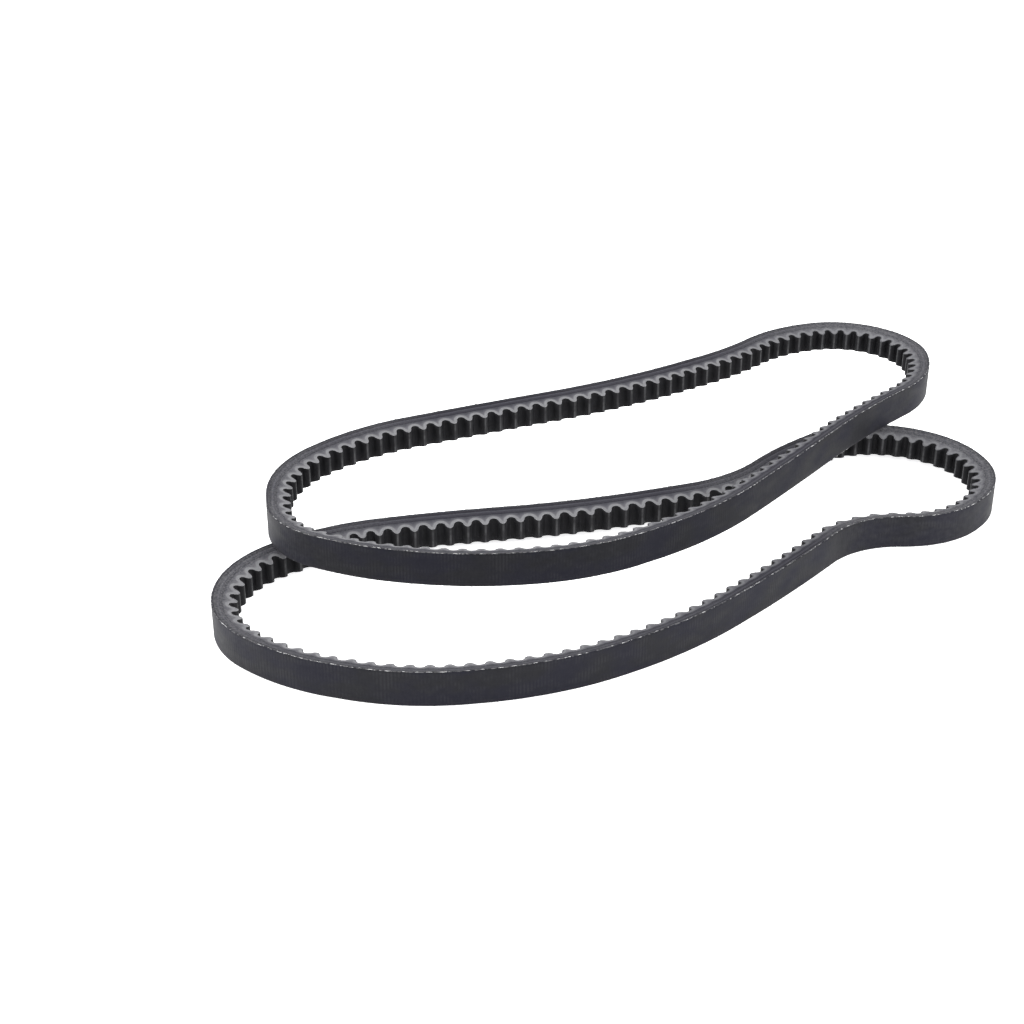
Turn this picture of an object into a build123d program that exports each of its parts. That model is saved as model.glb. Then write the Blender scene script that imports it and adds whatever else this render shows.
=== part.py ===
"""Matched pair of raw-edge moulded-cog V-belts, one laid across the other.

Each belt is an endless laminate that lies on its side: its back faces outwards, its cogs face
inwards, and its two cut flanks face up and down. From the back inwards it is a back fabric, a
cushion rubber, two gum layers that hold the tensile cord between them, a fibre-filled
compression rubber moulded into cogs, and a fabric that faces the cogs.

Units are millimetres and +Z is up. The origin is on the table, under the middle of the pair.
"""

import os
from math import atan2, cos, hypot, pi, radians, sin, tan

from build123d import *

# Belt section
top_width = 13.0
belt_thickness = 9.0
flank_angle = 17.0  # each flank to the belt's middle plane
back_fabric_thickness = 0.8
cushion_thickness = 1.2
outer_gum_thickness = 1.0  # down to the cord's centre line
inner_gum_thickness = 0.9  # from the cord's centre line on
cord_diameter = 1.0
cord_gap = 0.2  # between one turn of the cord and the next
cord_edge_cover = 0.4  # least gum between the outermost turn and the cut flank

# Belt length and cogs
outside_length = 750.0
cog_count = 109
cog_depth = 3.0  # groove root to cog tip
cog_tip_width = 1.9
cog_foot_width = 3.0
cog_shoulder_depth = 1.3  # tip down to where the round root starts
cog_tip_crown = 0.45
cog_facing_thickness = 0.4

# How the pair lies
crossing_gap = 0.1  # between the two belts where the upper one rests on the lower one

# Corners of each belt's cord line, seen from above. The near corners stay where they are and the
# far ones slide along the reach direction until the cord line has the belt's length.
bend_share = 0.49  # share of the shorter run beside a corner that its arc takes up
lower_near = [
    (110, 32), (87, 3), (28, -18), (-29, -28), (-68, -38), (-99, -64), (-101, -100),
    (-74, -124), (-33, -136), (15, -128), (59, -102), (98, -62), (128, -26),
]
lower_far = [(170, -24), (196, 7), (185, 46), (147, 59)]
lower_reach = 25.0
upper_near = [
    (96, 105), (46, 70), (-19, 41), (-61, 21), (-90, -14), (-84, -58),
    (-54, -74), (-15, -81), (28, -75), (72, -46), (108, -1),
]
upper_far = [(142, 45), (179, 83), (182, 122), (154, 145), (120, 133)]
upper_reach = 60.0

# Depths below the back, and the size of the wedge there
cushion_depth = back_fabric_thickness
outer_gum_depth = cushion_depth + cushion_thickness
cord_depth = outer_gum_depth + outer_gum_thickness
compression_depth = cord_depth + inner_gum_thickness
root_depth = belt_thickness - cog_depth
shoulder_depth = belt_thickness - cog_shoulder_depth
cutter_margin = 1.0  # how far a cutting shape runs past what it cuts
cord_spacing = cord_diameter + cord_gap
cord_line_length = outside_length - 2 * pi * cord_depth
cog_pitch = cord_line_length / cog_count


def half_width(depth):
    """Half of the belt's width at a depth below its back."""
    return top_width / 2 - depth * tan(radians(flank_angle))


def cord_turn_count():
    """How many turns of the cord fit across the belt, between the edge covers."""
    room = 2 * (half_width(cord_depth + cord_diameter / 2) - cord_edge_cover)
    return int((room - cord_diameter) / cord_spacing) + 1


def corner_bends(corners):
    """Radius and turn, in radians, of the arc that rounds each corner of a closed outline."""
    bends = []
    for i, (x, y) in enumerate(corners):
        before_x, before_y = corners[i - 1]
        after_x, after_y = corners[(i + 1) % len(corners)]
        run_in = (x - before_x, y - before_y)
        run_out = (after_x - x, after_y - y)
        cross = run_in[0] * run_out[1] - run_in[1] * run_out[0]
        dot = run_in[0] * run_out[0] + run_in[1] * run_out[1]
        turn = abs(atan2(cross, dot))
        shorter_run = min(hypot(*run_in), hypot(*run_out))
        bends.append((bend_share * shorter_run / tan(turn / 2), turn))
    return bends


def rounded_length(corners):
    """Length of a closed outline once its corners are rounded."""
    runs = sum(hypot(x - corners[i - 1][0], y - corners[i - 1][1]) for i, (x, y) in enumerate(corners))
    return runs - sum(radius * (2 * tan(turn / 2) - turn) for radius, turn in corner_bends(corners))


def reach_corners(near, far, direction, length):
    """The near corners, and the far ones moved out until the outline has the given length."""
    corners = near + far
    for _ in range(40):
        step = (length - rounded_length(corners)) / 2
        far = [(x + step * cos(radians(direction)), y + step * sin(radians(direction))) for x, y in far]
        corners = near + far
    return corners


def cord_line(corners, height):
    """The closed line that the cord follows, at a height above the table."""
    radii = [radius for radius, turn in corner_bends(corners)]
    with BuildLine(Plane.XY.offset(height)) as line:
        FilletPolyline(*corners, radius=radii, close=True)
    return line.wire()


def centred(corner_sets):
    """Every outline moved so that the middle of all their extents is at the origin."""
    boxes = [cord_line(corners, 0).bounding_box() for corners in corner_sets]
    middle_x = (min(box.min.X for box in boxes) + max(box.max.X for box in boxes)) / 2
    middle_y = (min(box.min.Y for box in boxes) + max(box.max.Y for box in boxes)) / 2
    return [[(x - middle_x, y - middle_y) for x, y in corners] for corners in corner_sets]


def section_plane(line):
    """Plane across a line at its start: local X points out of the loop, local Y is vertical."""
    along = line % 0
    return Plane(origin=line @ 0, x_dir=along.cross(Vector(0, 0, 1)), z_dir=along)


def wedge(depth_from, depth_to):
    """The belt's trapezoid between two depths, drawn on a section plane."""
    Polygon(
        (cord_depth - depth_from, -half_width(depth_from)),
        (cord_depth - depth_from, half_width(depth_from)),
        (cord_depth - depth_to, half_width(depth_to)),
        (cord_depth - depth_to, -half_width(depth_to)),
        align=None,
    )


def cord_turns_section(mode):
    """The turns of the cord, side by side across the belt, drawn on a section plane."""
    with GridLocations(0, cord_spacing, 1, cord_turn_count()):
        Circle(cord_diameter / 2, mode=mode)


def plain_layer(line, depth_from, depth_to):
    """A plain layer of the belt between two depths."""
    with BuildPart() as layer:
        with BuildSketch(section_plane(line)):
            wedge(depth_from, depth_to)
        sweep(path=line)
    return layer


def gum_layer(line, depth_from, depth_to):
    """The gum on one side of the cord's centre line, with a half-round channel for each turn."""
    with BuildPart() as layer:
        with BuildSketch(section_plane(line)):
            wedge(depth_from, depth_to)
            cord_turns_section(Mode.SUBTRACT)
        sweep(path=line)
    return layer


def tensile_cord(line):
    """The cord's turns, each carried round the loop."""
    with BuildPart() as cord:
        with BuildSketch(section_plane(line)):
            cord_turns_section(Mode.ADD)
        sweep(path=line)
    return cord


def loop_points(line, station, offsets):
    """Points given as (along, depth) from a station on the cord line, in plan."""
    origin = line.position_at(station, position_mode=PositionMode.LENGTH)
    along = line.tangent_at(station, position_mode=PositionMode.LENGTH)
    outward = along.cross(Vector(0, 0, 1))
    points = [origin + along * shift + outward * (cord_depth - depth) for shift, depth in offsets]
    return [(point.X, point.Y) for point in points]


def cog_outline(line, inset):
    """Closed plan outline of the cogs, drawn back by an inset from their outer surface."""
    tip = belt_thickness - inset
    half_tip = cog_tip_width / 2 - inset
    half_foot = cog_foot_width / 2 - inset
    cog_offsets = [
        (-half_foot, shoulder_depth), (-half_tip, tip - cog_tip_crown), (0, tip),
        (half_tip, tip - cog_tip_crown), (half_foot, shoulder_depth),
    ]
    cogs = [loop_points(line, i * cog_pitch, cog_offsets) for i in range(cog_count)]
    edges = []
    for i, (foot_in, edge_in, crown, edge_out, foot_out) in enumerate(cogs):
        root = loop_points(line, (i + 0.5) * cog_pitch, [(0, root_depth - inset)])[0]
        next_foot = cogs[(i + 1) % cog_count][0]
        edges.append(Edge.make_line(foot_in, edge_in))
        edges.append(Edge.make_three_point_arc(edge_in, crown, edge_out))
        edges.append(Edge.make_line(edge_out, foot_out))
        edges.append(Edge.make_three_point_arc(foot_out, root, next_foot))
    return Wire(edges)


def compression_rubber(line, base):
    """The rubber under the cord, moulded into the cores of the cogs."""
    with BuildPart() as rubber:
        with BuildSketch(section_plane(line)):
            wedge(compression_depth, belt_thickness + cutter_margin)
        sweep(path=line)
        with BuildSketch(Plane.XY.offset(base)):
            make_face(cog_outline(line, cog_facing_thickness).edges())
        extrude(amount=top_width, mode=Mode.SUBTRACT)
    return rubber


def cog_facing(line, base):
    """The fabric that follows the cogs and the groove roots."""
    with BuildPart() as facing:
        with BuildSketch(section_plane(line)):
            wedge(compression_depth, belt_thickness + cutter_margin)
        sweep(path=line)
        with BuildSketch(Plane.XY.offset(base)):
            make_face(cog_outline(line, cog_facing_thickness).edges())
            make_face(cog_outline(line, 0).edges(), mode=Mode.SUBTRACT)
        extrude(amount=top_width, mode=Mode.INTERSECT)
    return facing


def write_belt(name, corners, base):
    """Build one belt whose lower flank edge is at the base height, and write its pieces."""
    line = cord_line(corners, base + top_width / 2)
    layers = {
        "back_fabric": plain_layer(line, 0, cushion_depth),
        "cushion_rubber": plain_layer(line, cushion_depth, outer_gum_depth),
        "outer_gum": gum_layer(line, outer_gum_depth, cord_depth),
        "tensile_cord": tensile_cord(line),
        "inner_gum": gum_layer(line, cord_depth, compression_depth),
        "compression_rubber": compression_rubber(line, base),
        "cog_facing": cog_facing(line, base),
    }
    for layer_name, layer in layers.items():
        layer.part.label = f"{name}_{layer_name}"
        export_step(layer.part, f"parts/{name}_{layer_name}.step")


os.makedirs("parts", exist_ok=True)
lower_corners, upper_corners = centred([
    reach_corners(lower_near, lower_far, lower_reach, cord_line_length),
    reach_corners(upper_near, upper_far, upper_reach, cord_line_length),
])
write_belt("lower", lower_corners, 0)
write_belt("upper", upper_corners, top_width + crossing_gap)
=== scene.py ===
"""Two raw-edge cogged V-belts, one laid across the other: meshes, finishes, light and camera.

Lengths are in millimetres until they reach a mesh, which is in metres. A place on a belt is given
as the distance along its cord line, the depth below its back, and the distance across it from the
middle of its width. Lights, floor and camera are placed in metres.
"""

import math
import random

import bpy
import numpy as np
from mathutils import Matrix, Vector


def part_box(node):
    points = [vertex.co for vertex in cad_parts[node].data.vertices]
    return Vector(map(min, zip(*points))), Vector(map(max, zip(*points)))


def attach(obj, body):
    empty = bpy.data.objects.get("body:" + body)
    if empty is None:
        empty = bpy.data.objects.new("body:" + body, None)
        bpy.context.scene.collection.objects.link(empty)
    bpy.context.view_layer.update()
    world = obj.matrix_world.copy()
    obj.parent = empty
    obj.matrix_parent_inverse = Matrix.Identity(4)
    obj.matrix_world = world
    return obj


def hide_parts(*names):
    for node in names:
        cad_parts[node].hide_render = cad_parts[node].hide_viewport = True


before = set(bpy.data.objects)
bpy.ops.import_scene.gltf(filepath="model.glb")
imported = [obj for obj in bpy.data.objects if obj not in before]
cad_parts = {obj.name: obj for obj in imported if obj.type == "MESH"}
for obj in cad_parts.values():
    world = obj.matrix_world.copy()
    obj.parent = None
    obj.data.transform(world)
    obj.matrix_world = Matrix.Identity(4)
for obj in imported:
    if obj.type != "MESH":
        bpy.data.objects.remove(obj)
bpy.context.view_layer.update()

MM = 0.001

# Belt section, as in the CAD model
TOP_WIDTH = 13.0
THICKNESS = 9.0
FLANK_ANGLE = math.radians(17.0)
CUSHION_DEPTH = 0.8  # each layer's depth is where it starts, below the back
OUTER_GUM_DEPTH = 2.0
CORD_DEPTH = 3.0
COMPRESSION_DEPTH = 3.9
OUTSIDE_LENGTH = 750.0
COG_COUNT = 109
COG_DEPTH = 3.0  # groove root to cog tip
COG_TIP_WIDTH = 1.9
COG_FOOT_WIDTH = 3.0
COG_SHOULDER = 1.3  # cog tip to where the round root starts
COG_CROWN = 0.45
FACING_THICKNESS = 0.4
CORD_LINE_LENGTH = OUTSIDE_LENGTH - 2 * math.pi * CORD_DEPTH
COG_PITCH = CORD_LINE_LENGTH / COG_COUNT

# Corners of each belt's cord line, seen from above, as in the CAD model: the near ones stay, and
# the far ones slide along the reach direction, in degrees, until the line has its length
BEND_SHARE = 0.49  # share of the shorter run beside a corner that its arc takes up
LOWER_NEAR = [
    (110, 32), (87, 3), (28, -18), (-29, -28), (-68, -38), (-99, -64), (-101, -100),
    (-74, -124), (-33, -136), (15, -128), (59, -102), (98, -62), (128, -26),
]
LOWER_FAR = [(170, -24), (196, 7), (185, 46), (147, 59)]
LOWER_REACH = 25.0
UPPER_NEAR = [
    (96, 105), (46, 70), (-19, 41), (-61, 21), (-90, -14), (-84, -58),
    (-54, -74), (-15, -81), (28, -75), (72, -46), (108, -1),
]
UPPER_FAR = [(142, 45), (179, 83), (182, 122), (154, 145), (120, 133)]
UPPER_REACH = 60.0


# ---------------------------------------------------------------- the cord line in plan

REACH_STEPS = 40  # more than enough for the length to settle
STRAIGHT = 1e-9  # curvature, in 1/mm, below which a run counts as straight


def corner_turns(corners):
    """Signed turn and arc radius at each corner of a closed outline."""
    run_in = corners - np.roll(corners, 1, axis=0)
    run_out = np.roll(corners, -1, axis=0) - corners
    cross = run_in[:, 0] * run_out[:, 1] - run_in[:, 1] * run_out[:, 0]
    turns = np.arctan2(cross, (run_in * run_out).sum(axis=1))
    shorter = np.minimum(np.hypot(*run_in.T), np.hypot(*run_out.T))
    return turns, BEND_SHARE * shorter / np.tan(np.abs(turns) / 2)


def rounded_length(corners):
    """Length of a closed outline once its corners are rounded."""
    turns, radii = corner_turns(corners)
    runs = np.hypot(*(corners - np.roll(corners, 1, axis=0)).T).sum()
    return runs - (radii * (2 * np.tan(np.abs(turns) / 2) - np.abs(turns))).sum()


def reach_corners(near, far, direction):
    """The near corners, and the far ones moved out until the cord line has its length."""
    near, far = np.array(near, float), np.array(far, float)
    heading = np.array([math.cos(math.radians(direction)), math.sin(math.radians(direction))])
    for _ in range(REACH_STEPS):
        corners = np.vstack([near, far])
        far = far + heading * (CORD_LINE_LENGTH - rounded_length(corners)) / 2
    return np.vstack([near, far])


class CordLine:
    """A closed line of arcs and straight runs, addressed by the distance along it."""

    def __init__(self, corners):
        turns, radii = corner_turns(corners)
        run_out = np.roll(corners, -1, axis=0) - corners
        lengths = np.hypot(*run_out.T)
        headings = np.arctan2(run_out[:, 1], run_out[:, 0])
        tangents = radii * np.tan(np.abs(turns) / 2)
        pieces = []
        for i in range(-1, len(corners) - 1):
            corner = corners[i]
            heading_in = headings[i - 1]
            direction = np.array([math.cos(heading_in), math.sin(heading_in)])
            start = corner - direction * tangents[i]
            bend = turns[i] / abs(turns[i]) / radii[i]
            pieces.append((*start, heading_in, bend, abs(turns[i]) * radii[i]))
            direction = np.array([math.cos(headings[i]), math.sin(headings[i])])
            start = corner + direction * tangents[i]
            run = lengths[i] - tangents[i] - tangents[(i + 1) % len(corners)]
            pieces.append((*start, headings[i], 0.0, run))
        self.pieces = np.array(pieces)
        self.starts = np.concatenate([[0.0], np.cumsum(self.pieces[:, 4])])
        self.length = self.starts[-1]

    def place(self, along):
        """x, y, heading and curvature at distances along the line."""
        along = np.mod(along, self.length)
        index = np.searchsorted(self.starts, along, side="right") - 1
        index = np.clip(index, 0, len(self.pieces) - 1)
        x, y, heading, bend, _ = np.moveaxis(self.pieces[index], -1, 0)
        ahead = along - self.starts[index]
        now = heading + bend * ahead
        curved = np.abs(bend) > STRAIGHT
        divisor = np.where(curved, bend, 1.0)
        arc_x = (np.sin(now) - np.sin(heading)) / divisor
        arc_y = (np.cos(heading) - np.cos(now)) / divisor
        x = x + np.where(curved, arc_x, ahead * np.cos(heading))
        y = y + np.where(curved, arc_y, ahead * np.sin(heading))
        return x, y, now, bend


# ---------------------------------------------------------------- smooth seeded noise

RIPPLE_GAIN = 1.6  # brings a sum of unlike waves out to about -1 to 1


def ripple(along, period, seed, octaves=3):
    """Smooth noise round a closed line, about -1 to 1, that meets itself at the ends."""
    draw = random.Random(seed)
    out = np.zeros_like(np.asarray(along, float))
    total, weight = 0.0, 1.0
    for octave in range(octaves):
        turns = max(1, round(CORD_LINE_LENGTH / period * 2 ** octave))
        for shift in (-1, 0, 1):
            count = max(1, turns + shift * max(1, turns // 7))
            phase = draw.uniform(0, 2 * math.pi)
            out += weight * np.sin(2 * math.pi * count * along / CORD_LINE_LENGTH + phase)
        total += 3 * weight
        weight *= 0.5
    return out / total * RIPPLE_GAIN


# ---------------------------------------------------------------- a belt and its meshes

FLANK_RECESS = 0.05  # how far the cut flanks lie inside the CAD model's
BEND_EASE = 12  # how far along the belt a bend is averaged, each way
FULL_BEND = 0.025  # curvature, in 1/mm, that counts as a tight bend
PAINTED_LIGHT_PEAK = 230.0  # distance along the belt where the painted light along it is strongest, so the pale outline and cut edges are palest there


def half_width(depth):
    """Half of the belt's width at a depth below its back."""
    return TOP_WIDTH / 2 - depth * math.tan(FLANK_ANGLE)


class Belt:
    """One belt: where the places on it are, and which body it belongs to."""

    def __init__(self, name, corners, base, seed):
        self.name = name
        self.line = CordLine(corners)
        self.middle = base + TOP_WIDTH / 2
        self.seed = seed

    def points(self, along, depth, across):
        """World points, in metres, at places on the belt."""
        x, y, heading, _ = self.line.place(along)
        out = CORD_DEPTH - depth
        x = x + np.sin(heading) * out
        y = y - np.cos(heading) * out
        return np.stack([x, y, self.middle + across], axis=-1) * MM

    def bend(self, along):
        """0 on a straight strand, up to 1 in a tight bend, eased along the belt."""
        steps = np.arange(-BEND_EASE, BEND_EASE + 1, 3)
        tight = sum(np.abs(self.line.place(along + step)[3]) for step in steps) / len(steps)
        return np.clip(tight / FULL_BEND, 0, 1)

    def flank(self, along, depth, side):
        """Distance across the belt to a cut flank, with the cut's slight wander."""
        slow = 0.035 * ripple(along, 60, self.seed + 3 + side)
        quick = 0.014 * ripple(along, 9, self.seed + 7 + side)
        return side * (half_width(depth) - FLANK_RECESS + slow + quick)


def build_mesh(name, points, faces, attributes, material_index=None):
    """A mesh object from vertices, faces and named point attributes."""
    mesh = bpy.data.meshes.new(name)
    mesh.from_pydata(points.reshape(-1, 3).tolist(), [], faces)
    for key, values in attributes.items():
        values = np.asarray(values, np.float32)
        is_vector = values.ndim > 1 and values.shape[-1] == 3
        layer = mesh.attributes.new(key, "FLOAT_VECTOR" if is_vector else "FLOAT", "POINT")
        layer.data.foreach_set("vector" if is_vector else "value", values.ravel())
    if material_index is not None:
        mesh.polygons.foreach_set("material_index", np.asarray(material_index, np.int32))
    mesh.polygons.foreach_set("use_smooth", [True] * len(mesh.polygons))
    mesh.update()
    obj = bpy.data.objects.new(name, mesh)
    bpy.context.collection.objects.link(obj)
    return obj


def closed_grid_faces(rows, columns):
    """Quads of a grid of rows by columns that meets itself both ways."""
    faces = []
    for i in range(rows):
        a, b = i * columns, ((i + 1) % rows) * columns
        for j in range(columns):
            k = (j + 1) % columns
            faces.append((a + j, a + k, b + k, b + j))
    return faces


def marks(belt, places):
    """Point attributes: belt coordinates, how tightly the belt is bent, and how much painted
    light falls along the belt there.
    """
    along, depth, across = np.moveaxis(places, -1, 0)
    round_belt = 2 * math.pi * (along - PAINTED_LIGHT_PEAK) / CORD_LINE_LENGTH
    return {
        "belt": np.stack([along, across, depth], axis=-1),
        "bend": belt.bend(along),
        "painted_light_along_belt": 0.5 + 0.5 * np.cos(round_belt),
    }


def finish_piece(obj, belt, node, materials):
    """Put a piece on its body, and hide the CAD node it stands for."""
    for material in materials:
        obj.data.materials.append(material)
    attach(obj, f"{belt.name}_belt")
    if node:
        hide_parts(f"{belt.name}_{node}")


def stations(spacing):
    """Evenly spaced distances along the whole belt."""
    count = round(CORD_LINE_LENGTH / spacing)
    return np.arange(count) * CORD_LINE_LENGTH / count


def layer_places(lines):
    """A layer's places as a grid: one row for each section, one column for each line."""
    return np.array(lines).transpose(2, 0, 1)


def make_layer(belt, label, lines, slot, node, materials, material_index=None, **extra_marks):
    """A layer of the belt, from lines of places that run round it one beside the other."""
    places = layer_places(lines)
    points = belt.points(*np.moveaxis(places, -1, 0))
    faces = closed_grid_faces(*places.shape[:2])
    attributes = {**marks(belt, places), **extra_marks}
    obj = build_mesh(f"{belt.name}_{label}", points, faces, attributes, material_index)
    finish_piece(obj, belt, node, materials)


# ---------------------------------------------------------------- the back and the plain layers

FINE_STATION = 0.24  # distance between sections where the back's fine ribs are modelled
COARSE_STATION = 0.8  # distance between sections on a plain layer
RIB_PITCH = 1.15  # between the back's cross ribs
RIB_DEPTH = 0.022
THREAD_PITCH = 0.9  # between the back's lengthwise threads
THREAD_DEPTH = 0.012
SWELL_DEPTH = 0.05  # the back's slow unevenness
BACK_CORNER = 0.22  # radius of the cloth's outer edges
CORNER_SINK = 0.03  # how far those edges lie below the back
NICK_DEPTH = 0.05  # small nicks in those edges
BACK_COLUMNS = 15  # lines across the back, with both corners
CLOTH_TUCK = 0.9  # share of the width that the cloth's hidden inner face takes up
PLAIN_RIM = 9.0  # "rim" of a layer without cogs: too far from the cogged outline to show


def back_relief(along, across, seed):
    """How far the ribbed back lies below the belt's outer line."""
    rib_phase = 2 * math.pi * along / RIB_PITCH + 2.6 * ripple(along, 18, seed + 20)
    strength = 0.55 + 0.45 * ripple(along + 3 * across, 14, seed + 21)
    rib = 0.5 - 0.5 * np.cos(rib_phase)
    thread_phase = 2 * math.pi * across / THREAD_PITCH + 2.2 * ripple(along, 7, seed + 22)
    thread = 0.5 - 0.5 * np.cos(thread_phase)
    swell = 0.5 + 0.5 * ripple(along + 0.8 * across, 40, seed + 23)
    return RIB_DEPTH * strength * rib + THREAD_DEPTH * thread + SWELL_DEPTH * swell


def cloth_edge_line(belt, along, depth, inset, side):
    """One line of the cloth's cut edge, set in from the flank and nicked near the back."""
    nick = NICK_DEPTH * np.maximum(0, ripple(along, 2.6, belt.seed + 30 + side, 2)) ** 2
    across = belt.flank(along, depth, side) - side * (inset + nick * (depth < 0.3))
    sunk = depth + CORNER_SINK * (depth < 0.1)
    return along, sunk + 0 * along, across


def make_back_fabric(belt, material):
    """The cloth over the belt's back, with its ribs, rounded cut edges and their wear."""
    along = stations(FINE_STATION)
    edge = [  # depth, and inset from the flank, from the cushion up to the back
        (CUSHION_DEPTH, 0.0), (0.5, 0.0), (BACK_CORNER, 0.0),
        (BACK_CORNER * 0.3, BACK_CORNER * 0.3), (0.0, BACK_CORNER),
    ]
    lines = [cloth_edge_line(belt, along, depth, inset, -1) for depth, inset in edge]
    reach = np.abs(belt.flank(along, 0.0, 1)) - BACK_CORNER
    for share in np.linspace(-1, 1, BACK_COLUMNS)[1:-1]:
        across = share * reach
        lines.append((along, back_relief(along, across, belt.seed), across))
    lines += [cloth_edge_line(belt, along, depth, inset, 1) for depth, inset in edge[::-1]]
    for side in (1, -1):
        across = side * half_width(CUSHION_DEPTH) * CLOTH_TUCK
        lines.append((along, CUSHION_DEPTH + 0 * along, across + 0 * along))
    make_layer(belt, "back_cloth", lines, "back_fabric", "back_fabric", [material])


def make_band(belt, label, slot, node, depth_from, depth_to, recess, material):
    """A plain layer between two depths, its cut flanks hollowed by a recess."""
    along = stations(COARSE_STATION)
    shares = np.linspace(0, 1, 4)
    lines = []
    for side, order in ((-1, shares[::-1]), (1, shares)):
        for share in order:
            depth = depth_from + (depth_to - depth_from) * share
            hollow = math.sin(math.pi * share) ** 0.5 if 0 < share < 1 else 0.4
            across = belt.flank(along, depth, side) - side * recess * hollow
            lines.append((along, depth + 0 * along, across))
    rim = np.full((len(along), len(lines)), PLAIN_RIM)
    make_layer(belt, label, lines, slot, node, [material], rim=rim)


# ---------------------------------------------------------------- the cogs

COG_WEAR = (-0.05, 0.02)  # range of how much shorter or longer a cog is than the CAD model's
RIM_REACH = 16  # how many outline points each way are looked at for the nearest one
RUBBER_SHARES = (0, 0.2, 0.4, 0.6, 0.78, 0.92, 1.0)  # from the gum down to the cogged outline
GRIND_DEPTH = 0.018  # roughness of the ground flanks
GRIND_RECESS = 0.02
FACING_EDGE = 0.12  # how far the facing's moulded face stops short of the flanks
FACING_DROP = 0.05  # how far its cut edges lie below that face
DENT_DEPTH = 0.03  # unevenness of the moulded face


def cog_profile(inset):
    """One cog and half a groove each side, as (along from the cog's middle, depth) points."""
    tip = THICKNESS - inset
    shoulder = THICKNESS - COG_SHOULDER
    root = THICKNESS - COG_DEPTH - inset
    half_tip = COG_TIP_WIDTH / 2 - inset
    half_foot = COG_FOOT_WIDTH / 2 - inset

    cap_radius = (half_tip ** 2 + COG_CROWN ** 2) / (2 * COG_CROWN)
    spread = math.asin(half_tip / cap_radius)
    cap = []
    for turn in np.linspace(-spread, spread, 9):
        cap.append((cap_radius * math.sin(turn), tip - cap_radius * (1 - math.cos(turn))))

    tip_edge = tip - COG_CROWN
    right = []
    for share in (0.35, 0.7, 1):
        x = half_tip + (half_foot - half_tip) * share
        right.append((x, tip_edge + (shoulder - tip_edge) * share))

    rise = shoulder - root
    half_groove = COG_PITCH / 2 - half_foot
    root_radius = (half_groove ** 2 + rise ** 2) / (2 * rise)
    sweep = math.atan2(half_groove, root_radius - rise)
    for turn in np.linspace(sweep, 0, 10)[1:]:
        x = COG_PITCH / 2 - root_radius * math.sin(turn)
        right.append((x, root + root_radius - root_radius * math.cos(turn)))

    left = [(-x, depth) for x, depth in right[:-1]][::-1]
    return np.array(left + cap + right)


def cog_line(belt, inset):
    """The whole cogged outline: along, depth, and each point's place in its cog, -0.5 to 0.5.

    A cog keeps its shape where the belt bends, as in the CAD model, and the round roots open or
    close to join one cog to the next.
    """
    x, depth = cog_profile(inset).T
    half_foot = COG_FOOT_WIDTH / 2 - inset
    in_root = np.clip((np.abs(x) - half_foot) / (COG_PITCH / 2 - half_foot), 0, 1)
    on_cog = in_root == 0
    cog_x = np.clip(x, -half_foot, half_foot)
    middles = np.arange(COG_COUNT) * COG_PITCH
    curvatures = belt.line.place(middles)[3]
    draw = random.Random(belt.seed + 50)
    alongs, depths = [], []
    for middle, curvature in zip(middles, curvatures):
        wear = draw.uniform(*COG_WEAR) * on_cog
        bent_x, bent_depth = cog_x, depth
        if abs(curvature) > STRAIGHT:
            radius = 1 / curvature
            to_centre = radius - (depth - CORD_DEPTH)
            bent_x = radius * np.arctan(cog_x / to_centre)
            from_centre = math.copysign(1, radius) * np.hypot(cog_x, to_centre)
            sag = radius + CORD_DEPTH - from_centre - depth
            bent_depth = depth + sag * (1 - in_root)
        stretch = np.sign(x) * in_root * (COG_PITCH / 2 - np.abs(bent_x))
        alongs.append(middle + bent_x + stretch)
        depths.append(bent_depth + wear)
    return np.concatenate(alongs), np.concatenate(depths), np.tile(x / COG_PITCH, COG_COUNT)


def outline_distance(along, depth, at_along, at_depth):
    """How far places on a flank are from the cogged outline's points beside them."""
    nearest = np.full(at_along.shape, np.inf)
    for shift in range(-RIM_REACH, RIM_REACH + 1):
        gap = np.abs(np.roll(along, shift)[:, None] - at_along)
        gap = np.minimum(gap, CORD_LINE_LENGTH - gap)
        rise = np.roll(depth, shift)[:, None] - at_depth
        nearest = np.minimum(nearest, np.hypot(gap, rise))
    return nearest


def make_compression_rubber(belt, material):
    """The rubber under the cord, ground on both flanks and moulded into the cogs."""
    along, depth, _ = cog_line(belt, FACING_THICKNESS)
    lines = []
    for side, order in ((-1, RUBBER_SHARES[::-1]), (1, RUBBER_SHARES)):
        for share in order:
            at = COMPRESSION_DEPTH + (depth - COMPRESSION_DEPTH) * share
            grind = GRIND_DEPTH * ripple(along + 37 * at, 1.7, belt.seed + 40 + side, 2)
            across = belt.flank(along, at, side) + side * (grind - GRIND_RECESS)
            lines.append((along, at, across))
    at_along, at_depth, _ = np.moveaxis(layer_places(lines), -1, 0)
    rim = outline_distance(along, depth, at_along, at_depth)
    make_layer(belt, "cog_rubber", lines, "compression_rubber", "compression_rubber",
               [material], rim=rim)


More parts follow.
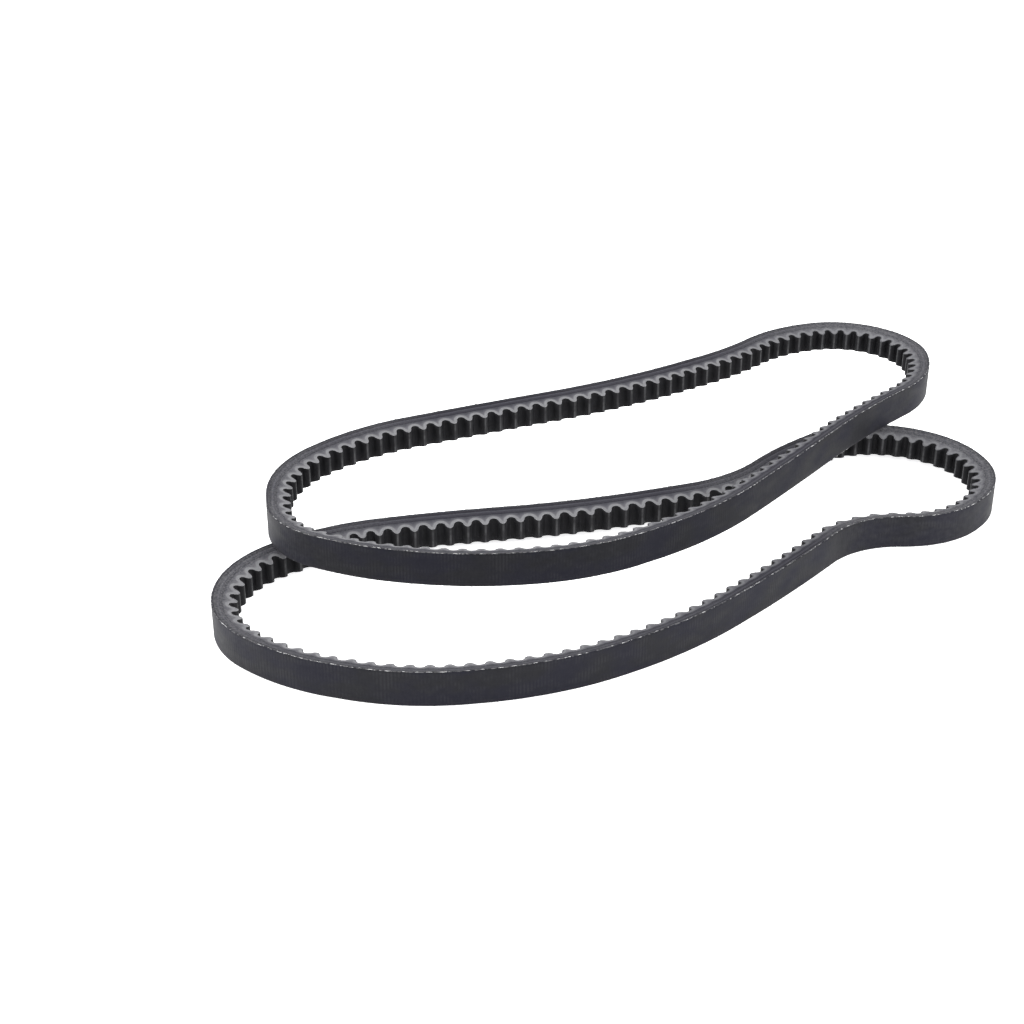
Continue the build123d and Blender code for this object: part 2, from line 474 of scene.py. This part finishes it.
def make_cog_facing(belt, face_material, cut_material):
    """The cloth over the cogs: its dark moulded face, and its cut edges on the two flanks."""
    along, depth, place = cog_line(belt, 0.0)
    inner_along, inner_depth, _ = cog_line(belt, FACING_THICKNESS)

    def cut_lines(side):
        """The inner and the outer line of the cut edge on one flank."""
        return [
            (inner_along, inner_depth, belt.flank(inner_along, inner_depth, side)),
            (along, depth - FACING_DROP, belt.flank(along, depth, side)),
        ]

    lines = cut_lines(-1)
    reach = np.abs(belt.flank(along, depth, 1)) - FACING_EDGE
    for level in np.linspace(-1, 1, 9):
        across = level * reach
        dent = DENT_DEPTH * ripple(along + 2.3 * across, 3.1, belt.seed + 60, 2)
        lines.append((along, depth + dent, across))
    lines += cut_lines(1)[::-1]

    columns = len(lines)
    is_cut = [1 if column in (0, columns - 2) else 0 for column in range(columns)]
    make_layer(belt, "cog_cloth", lines, "cog_facing", "cog_facing",
               [face_material, cut_material], material_index=is_cut * len(along),
               cog=np.repeat(place[:, None], columns, axis=1))


# ---------------------------------------------------------------- the frayed threads

THREAD_SIDES = 5
THREAD_STEPS = 6
# Side of the belt, mean distance between tufts, and share of the tufts that are there
TUFTS = ((1, 2.2, 0.75), (-1, 5.0, 0.5))
THREAD_LENGTHS = (0.35, 0.5, 0.7, 0.9, 1.3)
THREADS_IN_TUFT = (1, 1, 1, 2, 3)


def thread_places(belt, side, start, length, thick, depth, tilt, lift):
    """Rings of places round one cut thread that lies along an edge of the back."""
    places = []
    for step in range(THREAD_STEPS + 1):
        share = step / THREAD_STEPS
        along = start + length * share
        arch = math.sin(math.pi * share)
        middle_depth = depth + tilt * (share - 0.5) - lift * arch * 0.7
        edge = float(belt.flank(np.array([along]), max(0.02, middle_depth), side)[0])
        middle_across = edge + side * (lift * arch - 0.02)
        taper = 0.35 + 0.65 * math.sin(math.pi * min(max(share, 0.04), 0.96)) ** 0.5
        for corner in range(THREAD_SIDES):
            turn = 2 * math.pi * corner / THREAD_SIDES
            places.append((
                along,
                middle_depth + thick * taper * math.cos(turn),
                middle_across + thick * taper * math.sin(turn),
            ))
    return places


def thread_faces(first):
    """Faces of one thread, capped at both ends, whose vertices start at an index."""
    faces = []
    for step in range(THREAD_STEPS):
        lower = first + step * THREAD_SIDES
        upper = lower + THREAD_SIDES
        for m in range(THREAD_SIDES):
            n = (m + 1) % THREAD_SIDES
            faces.append((lower + m, lower + n, upper + n, upper + m))
    last = first + THREAD_STEPS * THREAD_SIDES
    faces.append(tuple(range(first, first + THREAD_SIDES))[::-1])
    faces.append(tuple(range(last, last + THREAD_SIDES)))
    return faces


def make_frayed_threads(belt, material):
    """Short cut ends of the cover's threads, pressed along the back's edges."""
    draw = random.Random(belt.seed + 70)
    places, faces = [], []
    for side, spacing, present in TUFTS:
        along = 0.0
        while along < CORD_LINE_LENGTH:
            along += draw.uniform(0.3, 1.9) * spacing
            if draw.random() > present:
                continue
            for _ in range(draw.choice(THREADS_IN_TUFT)):
                start = along + draw.uniform(-1.3, 1.3)
                length = draw.choice(THREAD_LENGTHS) * draw.uniform(0.8, 1.25)
                thick = draw.uniform(0.04, 0.085)
                depth = draw.uniform(0.0, 0.34)
                tilt = draw.uniform(-0.30, 0.30)
                lift = draw.uniform(0.0, 0.10)
                faces += thread_faces(len(places))
                places += thread_places(belt, side, start, length, thick, depth, tilt, lift)
    places = np.array(places)
    # None reaches below the flank that the belt lies on
    places[:, 2] = np.maximum(places[:, 2], -TOP_WIDTH / 2)
    points = belt.points(*places.T)
    obj = build_mesh(f"{belt.name}_frayed_threads", points, faces, marks(belt, places))
    finish_piece(obj, belt, None, [material])


# ---------------------------------------------------------------- materials

class Finish:
    """Builds a node material on the belt's own coordinates: X along, Y across, Z depth.

    A stretch is given as factors along, across and in depth, so a pattern repeats about once in
    1 / factor millimetres.
    """

    def __init__(self, name):
        self.material = bpy.data.materials.new(name)
        self.material.use_nodes = True
        self.tree = self.material.node_tree
        self.shader = self.tree.nodes["Principled BSDF"]
        self.where = self.attribute("belt", "Vector")

    def node(self, kind, **settings):
        made = self.tree.nodes.new(kind)
        for key, value in settings.items():
            setattr(made, key, value)
        return made

    def link(self, source, target):
        self.tree.links.new(source, target)

    def attribute(self, name, output="Fac"):
        return self.node("ShaderNodeAttribute", attribute_name=name).outputs[output]

    def stretched(self, stretch):
        """The belt's coordinates, multiplied by a factor along each axis."""
        made = self.node("ShaderNodeVectorMath", operation="MULTIPLY")
        self.link(self.where, made.inputs[0])
        made.inputs[1].default_value = stretch
        return made.outputs[0]

    def noise(self, stretch, detail=3.0, roughness=0.55):
        made = self.node("ShaderNodeTexNoise")
        made.inputs["Scale"].default_value = 1.0
        made.inputs["Detail"].default_value = detail
        made.inputs["Roughness"].default_value = roughness
        self.link(self.stretched(stretch), made.inputs["Vector"])
        return made.outputs["Fac"]

    def wave(self, stretch, direction, distortion):
        made = self.node("ShaderNodeTexWave", bands_direction=direction)
        made.inputs["Scale"].default_value = 1.0
        made.inputs["Distortion"].default_value = distortion
        made.inputs["Detail"].default_value = 2.0
        made.inputs["Detail Scale"].default_value = 0.6
        self.link(self.stretched(stretch), made.inputs["Vector"])
        return made.outputs["Fac"]

    def part(self, axis):
        """One of the belt's coordinates."""
        made = self.node("ShaderNodeSeparateXYZ")
        self.link(self.where, made.inputs[0])
        return made.outputs[axis]

    def math(self, operation, a, b=0.0):
        made = self.node("ShaderNodeMath", operation=operation)
        for socket, value in zip(made.inputs, (a, b)):
            if isinstance(value, (int, float)):
                socket.default_value = value
            else:
                self.link(value, socket)
        return made.outputs[0]

    def span(self, value, low, high, to_low=0.0, to_high=1.0):
        """A value mapped smoothly from one range to another."""
        made = self.node("ShaderNodeMapRange", interpolation_type="SMOOTHSTEP")
        self.link(value, made.inputs["Value"])
        made.inputs["From Min"].default_value = low
        made.inputs["From Max"].default_value = high
        made.inputs["To Min"].default_value = to_low
        made.inputs["To Max"].default_value = to_high
        return made.outputs["Result"]

    def mix(self, factor, a, b):
        """Colour a where the factor is 0, and b where it is 1."""
        made = self.node("ShaderNodeMix", data_type="RGBA")
        sockets = (made.inputs[0], made.inputs[6], made.inputs[7])
        for socket, value in zip(sockets, (factor, a, b)):
            if isinstance(value, tuple):
                socket.default_value = (*value, 1.0)
            else:
                self.link(value, socket)
        return made.outputs[2]

    def tint(self, colour, tone, factor, *more_factors):
        """A colour taken towards a tone by the product of the factors."""
        for other in more_factors:
            factor = self.math("MULTIPLY", factor, other)
        return self.mix(factor, colour, tone)

    def bump(self, height, strength, distance):
        """Relief on top of the relief already there, its distance in millimetres."""
        made = self.node("ShaderNodeBump")
        made.inputs["Strength"].default_value = strength
        made.inputs["Distance"].default_value = distance * MM
        self.link(height, made.inputs["Height"])
        previous = self.shader.inputs["Normal"].links
        if previous:
            self.link(previous[0].from_socket, made.inputs["Normal"])
        self.link(made.outputs["Normal"], self.shader.inputs["Normal"])

    def finish(self, colour, roughness, specular, sheen=0.0):
        """The material, with its colour, gloss and sheen on the shader."""
        self.link(colour, self.shader.inputs["Base Color"])
        if isinstance(roughness, float):
            self.shader.inputs["Roughness"].default_value = roughness
        else:
            self.link(roughness, self.shader.inputs["Roughness"])
        self.shader.inputs["Specular IOR Level"].default_value = specular
        self.shader.inputs["Sheen Weight"].default_value = sheen
        return self.material


def back_cloth_finish():
    """Rubberised charcoal cloth: fine cross ribs, bluish patches, dust specks, pale worn edges, a
    pale cut face that is partly a painted edge highlight, and painted light that makes it paler
    in the bends.
    """
    charcoal, bluish = (0.0058, 0.0059, 0.0086), (0.0072, 0.0073, 0.0140)
    rib_grey, speck_grey = (0.022, 0.022, 0.026), (0.07, 0.07, 0.075)
    bend_light_grey, worn_grey = (0.040, 0.040, 0.044), (0.17, 0.17, 0.175)
    cut_and_edge_highlight_grey = (0.040, 0.039, 0.048)
    f = Finish("back_cloth")
    patches = f.noise((0.05, 0.10, 0.1), 4.0)
    colour = f.mix(f.span(patches, 0.38, 0.62), charcoal, bluish)
    ribs = f.wave((0.273, 0.02, 0.0), "X", 2.2)
    faint = f.span(f.noise((0.12, 0.25, 0.1)), 0.42, 0.68)
    colour = f.tint(colour, rib_grey, ribs, faint, 0.45)
    specks = f.span(f.noise((3.5, 2.0, 2.0), 2.0), 0.66, 0.80)
    colour = f.tint(colour, speck_grey, specks, 0.25)
    # Painted light: the cloth is made paler where the belt bends, as at the side-lit ends of the
    # loops, in a noise mottle.
    bend_light_mottle = f.span(f.noise((0.5, 0.5, 0.5), 4.0), 0.30, 0.70, 0.25, 0.85)
    colour = f.tint(colour, bend_light_grey, f.attribute("bend"), bend_light_mottle, 0.30)
    at_corner = f.span(f.math("ABSOLUTE", f.part("Y")), 6.12, 6.40)
    worn = f.span(f.noise((0.9, 1.5, 1.5), 3.0), 0.44, 0.60)
    colour = f.tint(colour, worn_grey, at_corner, worn, 0.75)
    # The cloth's cut face is made pale: partly its own cut colour, partly a painted highlight
    # along the belt's outer edge.
    on_cut = f.span(f.part("Z"), 0.22, 0.36)
    light = f.span(f.noise((0.04, 0.04, 0.04), 2.0), 0.40, 0.62, 0.35, 1.0)
    colour = f.tint(colour, cut_and_edge_highlight_grey, on_cut, light)
    f.bump(ribs, 0.2, 0.05)
    f.bump(f.noise((5.0, 3.0, 3.0), 3.0), 0.35, 0.05)
    roughness = f.span(patches, 0.3, 0.7, 0.60, 0.76)
    return f.finish(colour, roughness, 0.15, 0.03)


FLANK_TONES = [  # depth below the back, and the cut flank's tone there
    (0.8, (0.0165, 0.016, 0.022)), (1.2, (0.0120, 0.0115, 0.018)),
    (1.7, (0.0120, 0.0115, 0.018)), (2.0, (0.040, 0.039, 0.050)),
    (2.5, (0.046, 0.045, 0.057)), (2.9, (0.024, 0.023, 0.032)),
    (3.9, (0.0165, 0.016, 0.024)), (4.4, (0.040, 0.039, 0.050)),
    (5.3, (0.062, 0.061, 0.073)), (6.3, (0.085, 0.084, 0.096)),
    (9.0, (0.120, 0.119, 0.129)),
]


def cut_rubber_finish(name, grain=1.0):
    """Cut and ground rubber: a tone for each layer, pale at the cogs, with grain and fibres, and
    painted light: paler in the bends, with a painted highlight along the cogged outline and on
    the cogs' ends.
    """
    streak_grey, flank_bend_light_grey = (0.022, 0.022, 0.028), (0.17, 0.17, 0.177)
    halo_grey, outline_highlight_grey = (0.15, 0.15, 0.16), (0.215, 0.215, 0.225)
    fibre_grey = (0.26, 0.26, 0.27)
    f = Finish(name)
    wander = f.math("MULTIPLY", f.math("SUBTRACT", f.noise((0.3, 0.3, 0.3), 3.0), 0.5), 0.6)
    depth = f.math("ADD", f.part("Z"), wander)
    ramp = f.node("ShaderNodeValToRGB")
    stops = ramp.color_ramp.elements
    for _ in range(len(FLANK_TONES) - 2):
        stops.new(0.5)
    for stop, (at, tone) in zip(stops, FLANK_TONES):
        stop.position = at / THICKNESS
        stop.color = (*tone, 1.0)
    f.link(f.math("DIVIDE", depth, THICKNESS), ramp.inputs["Fac"])
    streaks = f.span(f.noise((0.25, 2.0, 4.0), 3.0), 0.40, 0.70)
    colour = f.tint(ramp.outputs["Color"], streak_grey, streaks, 0.40)
    bend = f.attribute("bend")
    # Painted light: the cut flank is made paler where the belt bends, as at the side-lit ends of
    # the loops, in a noise mottle.
    flank_bend_mottle = f.span(f.noise((1.3, 1.3, 1.3), 5.0, 0.65), 0.32, 0.68, 0.15, 0.9)
    colour = f.tint(colour, flank_bend_light_grey, bend, flank_bend_mottle, 0.65)

    # A painted highlight follows the cogged outline, with a softer painted halo beside it, and
    # painted light makes the cogs' ends pale in the bends
    rim = f.attribute("rim")
    colour = f.tint(colour, halo_grey, f.span(rim, 1.0, 2.4, 0.30, 0.0))
    ragged = f.math("ADD", rim, f.math("MULTIPLY", f.noise((1.5, 1.5, 1.5), 3.0), 0.5))
    # This pale line is a painted highlight along the cogged outline, ragged with noise.
    ground = f.span(ragged, 0.80, 1.45, 1.0, 0.0)
    cog_end = f.math("MULTIPLY", f.span(f.part("Z"), 6.0, 7.2), bend)
    pale = f.math("MAXIMUM", f.math("MULTIPLY", ground, 0.85), f.math("MULTIPLY", cog_end, 0.92))
    # Painted light along the belt: strongest at one place along each belt, weakest half a belt
    # further on.
    painted_light_along_belt = f.span(f.attribute("painted_light_along_belt"), 0.0, 0.7, 0.40, 1.0)
    mottle = f.span(f.noise((0.35, 0.35, 0.35), 2.0), 0.35, 0.65, 0.72, 1.0)
    colour = f.tint(colour, outline_highlight_grey, pale, painted_light_along_belt, mottle)

    fibres = f.span(f.noise((2.6, 5.0, 5.0), 4.0), 0.58, 0.76)
    colour = f.tint(colour, fibre_grey, fibres, 0.20 * grain)
    f.bump(f.noise((4.0, 6.0, 6.0), 4.0), 0.5 * grain, 0.08)
    return f.finish(colour, 0.78, 0.13, 0.03)


def cog_face_finish():
    """Moulded facing cloth: near black, with a cross weave and a painted highlight line on each
    crown.
    """
    dark, less_dark = (0.0055, 0.0055, 0.0068), (0.0090, 0.0090, 0.0108)
    crown_highlight_grey = (0.060, 0.060, 0.063)
    f = Finish("cog_face")
    patches = f.noise((0.3, 0.25, 0.3), 3.0)
    colour = f.mix(f.span(patches, 0.35, 0.7), dark, less_dark)
    # Painted highlight: a thin pale line down the middle of each cog, broken up by noise.
    crown = f.span(f.math("ABSOLUTE", f.attribute("cog")), 0.02, 0.09, 1.0, 0.0)
    uneven = f.span(f.noise((0.05, 0.2, 0.1), 3.0), 0.35, 0.65, 0.25, 0.9)
    colour = f.tint(colour, crown_highlight_grey, crown, uneven)
    f.bump(f.wave((0.0, 0.45, 0.0), "Y", 1.0), 0.2, 0.04)
    f.bump(f.noise((3.0, 3.0, 3.0), 3.0), 0.3, 0.05)
    return f.finish(colour, 0.66, 0.14, 0.02)


def cog_cut_finish():
    """The facing's cut edge: grey fibres, made pale partly as a painted edge highlight, palest
    where the painted light along the belt is strongest.
    """
    grey, pale_grey, unlit_cut_grey = (0.14, 0.14, 0.15), (0.27, 0.27, 0.28), (0.085, 0.085, 0.093)
    f = Finish("cog_cut")
    fibres = f.noise((3.0, 3.0, 5.0), 3.0)
    # The pale fibre tone is partly the cut cloth's colour and partly a painted edge highlight.
    # Where the painted light along the belt is weak, the edge stays a darker grey.
    dusty = f.mix(f.span(fibres, 0.35, 0.65), grey, pale_grey)
    colour = f.mix(f.span(f.attribute("painted_light_along_belt"), 0.0, 0.7), unlit_cut_grey, dusty)
    f.bump(fibres, 0.4, 0.06)
    return f.finish(colour, 0.8, 0.15)


def cord_finish():
    """Twisted off-white cord. Its CAD mesh has no belt coordinates, so it uses the object's."""
    f = Finish("cord")
    twist = f.node("ShaderNodeTexWave", bands_direction="DIAGONAL")
    twist.inputs["Scale"].default_value = 900.0
    f.link(f.node("ShaderNodeTexCoord").outputs["Object"], twist.inputs["Vector"])
    colour = f.mix(twist.outputs["Fac"], (0.42, 0.40, 0.36), (0.68, 0.66, 0.60))
    f.bump(twist.outputs["Fac"], 0.4, 0.1)
    return f.finish(colour, 0.7, 0.3)


def thread_finish():
    """Frayed ends of the cover cloth: dusty grey-white fibres."""
    f = Finish("frayed_thread")
    tone = f.noise((0.9, 2.0, 2.0), 2.0)
    colour = f.mix(f.span(tone, 0.35, 0.65), (0.30, 0.30, 0.31), (0.80, 0.80, 0.80))
    return f.finish(colour, 0.85, 0.25, 0.2)


# ---------------------------------------------------------------- assembly

LOWER_SEED = 11
UPPER_SEED = 47
EXTENT_STATION = 0.1  # distance between the points that give the cord lines' extents

# Floor, camera and lights, in metres, degrees and watts
FLOOR_SIZE = 60.0
FLOOR_GLOW = 0.8
WORLD_STRENGTH = 0.55
CAMERA_ELEVATION = 27.04
CAMERA_DISTANCE = 0.665
SENSOR_WIDTH = 36.0  # millimetres
FOCAL_RATIO = 1700 / 1024  # focal length over the sensor's width
SOFTBOXES = [  # name, location, size and power
    ("top_softbox", (0.0, 0.25, 1.4), 1.6, 17),
    ("left_softbox", (-1.05, -0.05, 0.45), 0.7, 13),
    ("right_softbox", (1.0, -0.55, 0.5), 0.7, 10),
]


def lay_out():
    """Both belts, with the middle of their extents at the origin, as in the CAD model."""
    outlines = [
        reach_corners(LOWER_NEAR, LOWER_FAR, LOWER_REACH),
        reach_corners(UPPER_NEAR, UPPER_FAR, UPPER_REACH),
    ]
    along = stations(EXTENT_STATION)
    samples = np.hstack([CordLine(corners).place(along)[:2] for corners in outlines])
    middle = (samples.min(axis=1) + samples.max(axis=1)) / 2
    belts = []
    for name, corners, seed in zip(("lower", "upper"), outlines, (LOWER_SEED, UPPER_SEED)):
        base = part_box(f"{name}_back_fabric")[0][2] / MM
        belts.append(Belt(name, corners - middle, base, seed))
    return belts, middle


def make_belt(belt, finishes):
    """All the pieces of one belt."""
    make_back_fabric(belt, finishes["back"])
    make_band(belt, "cushion_edge", "cushion_rubber", "cushion_rubber",
              CUSHION_DEPTH, OUTER_GUM_DEPTH, recess=0.05, material=finishes["cushion"])
    make_band(belt, "outer_gum_edge", "gum_rubber", "outer_gum",
              OUTER_GUM_DEPTH, CORD_DEPTH, recess=0.07, material=finishes["gum"])
    make_band(belt, "inner_gum_edge", "gum_rubber", "inner_gum",
              CORD_DEPTH, COMPRESSION_DEPTH, recess=0.06, material=finishes["gum"])
    make_compression_rubber(belt, finishes["compression"])
    make_cog_facing(belt, finishes["cog_face"], finishes["cog_cut"])
    make_frayed_threads(belt, finishes["thread"])
    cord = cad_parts[f"{belt.name}_tensile_cord"]
    cord.data.materials.clear()
    cord.data.materials.append(finishes["cord"])


def make_floor():
    """A wide white table top."""
    bpy.ops.mesh.primitive_plane_add(size=FLOOR_SIZE, location=(0, 0, 0))
    floor = bpy.context.object
    floor.name = "floor"
    material = bpy.data.materials.new("floor")
    material.use_nodes = True
    shader = material.node_tree.nodes["Principled BSDF"]
    shader.inputs["Base Color"].default_value = (0.93, 0.93, 0.93, 1)
    shader.inputs["Roughness"].default_value = 0.9
    shader.inputs["Specular IOR Level"].default_value = 0.1
    shader.inputs["Emission Color"].default_value = (1, 1, 1, 1)
    shader.inputs["Emission Strength"].default_value = FLOOR_GLOW
    floor.data.materials.append(material)


def make_camera(middle):
    """A long-lens view from the front, looking down at the origin of the corners' coordinates."""
    elevation = math.radians(CAMERA_ELEVATION)
    target = Vector((-middle[0] * MM, -middle[1] * MM, 0))
    camera = bpy.data.objects.new("camera", bpy.data.cameras.new("camera"))
    bpy.context.collection.objects.link(camera)
    camera.data.sensor_width = SENSOR_WIDTH
    camera.data.lens = SENSOR_WIDTH * FOCAL_RATIO
    back = Vector((0, -math.cos(elevation), math.sin(elevation)))
    camera.location = target + back * CAMERA_DISTANCE
    camera.rotation_euler = back.to_track_quat("Z", "Y").to_euler()
    bpy.context.scene.camera = camera


def add_light(name, location, size, power):
    """A large soft area light aimed at the belts."""
    light = bpy.data.lights.new(name, "AREA")
    light.energy = power
    light.shape = "SQUARE"
    light.size = size
    obj = bpy.data.objects.new(name, light)
    bpy.context.collection.objects.link(obj)
    obj.location = location
    obj.rotation_euler = Vector(location).to_track_quat("Z", "Y").to_euler()


def light_scene():
    """White surroundings and three soft lights, the strongest of them overhead."""
    scene = bpy.context.scene
    scene.view_settings.view_transform = "Standard"
    world = bpy.data.worlds.new("studio")
    scene.world = world
    world.use_nodes = True
    background = world.node_tree.nodes["Background"]
    background.inputs["Color"].default_value = (1, 1, 1, 1)
    background.inputs["Strength"].default_value = WORLD_STRENGTH
    for name, location, size, power in SOFTBOXES:
        add_light(name, location, size, power)


belts, layout_middle = lay_out()
finishes = {
    "back": back_cloth_finish(),
    "cushion": cut_rubber_finish("cushion"),
    "gum": cut_rubber_finish("gum", 0.7),
    "compression": cut_rubber_finish("compression"),
    "cog_face": cog_face_finish(),
    "cog_cut": cog_cut_finish(),
    "cord": cord_finish(),
    "thread": thread_finish(),
}
for belt in belts:
    make_belt(belt, finishes)
make_floor()
make_camera(layout_middle)
light_scene()
